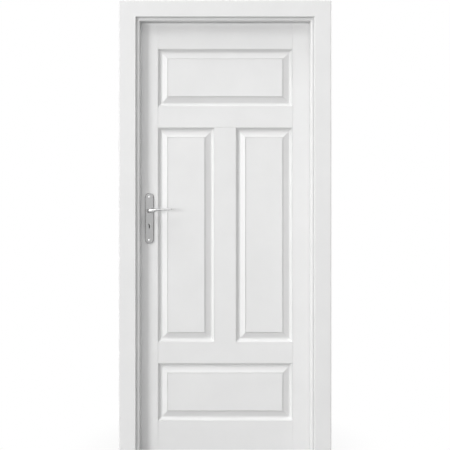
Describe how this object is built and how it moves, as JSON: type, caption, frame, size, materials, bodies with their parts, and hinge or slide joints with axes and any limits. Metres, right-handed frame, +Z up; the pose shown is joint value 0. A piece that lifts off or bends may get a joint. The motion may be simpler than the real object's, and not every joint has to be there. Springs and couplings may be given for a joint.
{
  "type": "panelled door in its frame",
  "caption": "White panelled door leaf hung on butt hinges in a lined frame with mitred casings, with a lever handle on long plates and a mortise lock.",
  "frame": {"origin": "on the floor, midway between the jambs and midway through the whole depth from the front casing face to the rear lever", "axes": "+X to the hinge side, +Y to the side the leaf swings to, +Z up; the pictured face looks to -Y"},
  "size_m": [1, 0.159, 2.142],
  "materials": {
    "painted_wood": "satin white paint",
    "bare_wood": "bare beech",
    "satin_aluminium": "satin anodised",
    "hinge_steel": "satin",
    "lock_steel": "zinc plated",
    "seal_rubber": "matte light grey",
    "bush_nylon": "matte"
  },
  "bodies": {
    "frame": {"latch_jamb": "painted_wood", "hinge_jamb": "painted_wood", "head_jamb": "painted_wood", "stop_strip_latch_side": "painted_wood", "stop_strip_hinge_side": "painted_wood", "stop_strip_head": "painted_wood", "front_casing_latch_side": "painted_wood", "front_casing_hinge_side": "painted_wood", "front_casing_head": "painted_wood", "rear_casing_latch_side": "painted_wood", "rear_casing_hinge_side": "painted_wood", "rear_casing_head": "painted_wood", "seal_latch_side": "seal_rubber", "seal_hinge_side": "seal_rubber", "seal_head": "seal_rubber", "strike_plate": "hinge_steel", "strike_screws": "hinge_steel", "frame_corner_dowels": "bare_wood", "hinge_frame_screws": "hinge_steel", "lower_hinge_frame_plate": "hinge_steel", "middle_hinge_frame_plate": "hinge_steel", "upper_hinge_frame_plate": "hinge_steel", "lower_hinge_pin": "hinge_steel", "middle_hinge_pin": "hinge_steel", "upper_hinge_pin": "hinge_steel"},
    "leaf": {"latch_stile": "painted_wood", "hinge_stile": "painted_wood", "middle_muntin": "painted_wood", "bottom_rail": "painted_wood", "lower_cross_rail": "painted_wood", "upper_cross_rail": "painted_wood", "top_rail": "painted_wood", "top_panel": "painted_wood", "latch_side_panel": "painted_wood", "hinge_side_panel": "painted_wood", "bottom_panel": "painted_wood", "leaf_dowels": "bare_wood", "lower_hinge_leaf_plate": "hinge_steel", "middle_hinge_leaf_plate": "hinge_steel", "upper_hinge_leaf_plate": "hinge_steel", "hinge_leaf_screws": "hinge_steel", "forend_screws": "hinge_steel", "lock_forend": "lock_steel", "lock_case": "lock_steel", "lock_cover": "lock_steel", "latch_spring": "lock_steel", "follower_spring": "lock_steel", "front_back_plate": "satin_aluminium", "rear_back_plate": "satin_aluminium", "plate_bolts": "satin_aluminium", "sleeve_nuts": "satin_aluminium", "front_lever_bush": "bush_nylon", "rear_lever_bush": "bush_nylon"},
    "lever": {"front_lever": "satin_aluminium", "rear_lever": "satin_aluminium", "lever_spindle": "lock_steel", "lock_follower": "lock_steel", "lever_grub_screws": "lock_steel"},
    "latch": {"latch_bolt": "lock_steel"},
    "deadbolt": {"dead_bolt": "lock_steel"}
  },
  "joints": [
    {"name": "leaf_swing", "type": "hinge", "parent": "frame", "child": "leaf", "pos_m": [0.4135, 0.027, 1], "axis": [0, 0, -1], "range_deg": [0, 175]},
    {"name": "lever_turn", "type": "hinge", "parent": "leaf", "child": "lever", "pos_m": [-0.362, 0.0015, 1.147], "axis": [0, 1, 0], "range_deg": [0, 40], "stiffness_Nm_per_rad": 1.2, "springref_deg": -28.65, "deforming": ["follower_spring"]},
    {"name": "latch_slide", "type": "slide", "parent": "leaf", "child": "latch", "axis": [1, 0, 0], "range_m": [0, 0.0123], "deforming": ["latch_spring"]},
    {"name": "deadbolt_slide", "type": "slide", "parent": "leaf", "child": "deadbolt", "axis": [-1, 0, 0], "range_m": [0, 0.015]}
  ],
  "couplings": [
    {"joint": "latch_slide", "follows": "lever_turn", "m_per_rad": 0.017618}
  ]
}
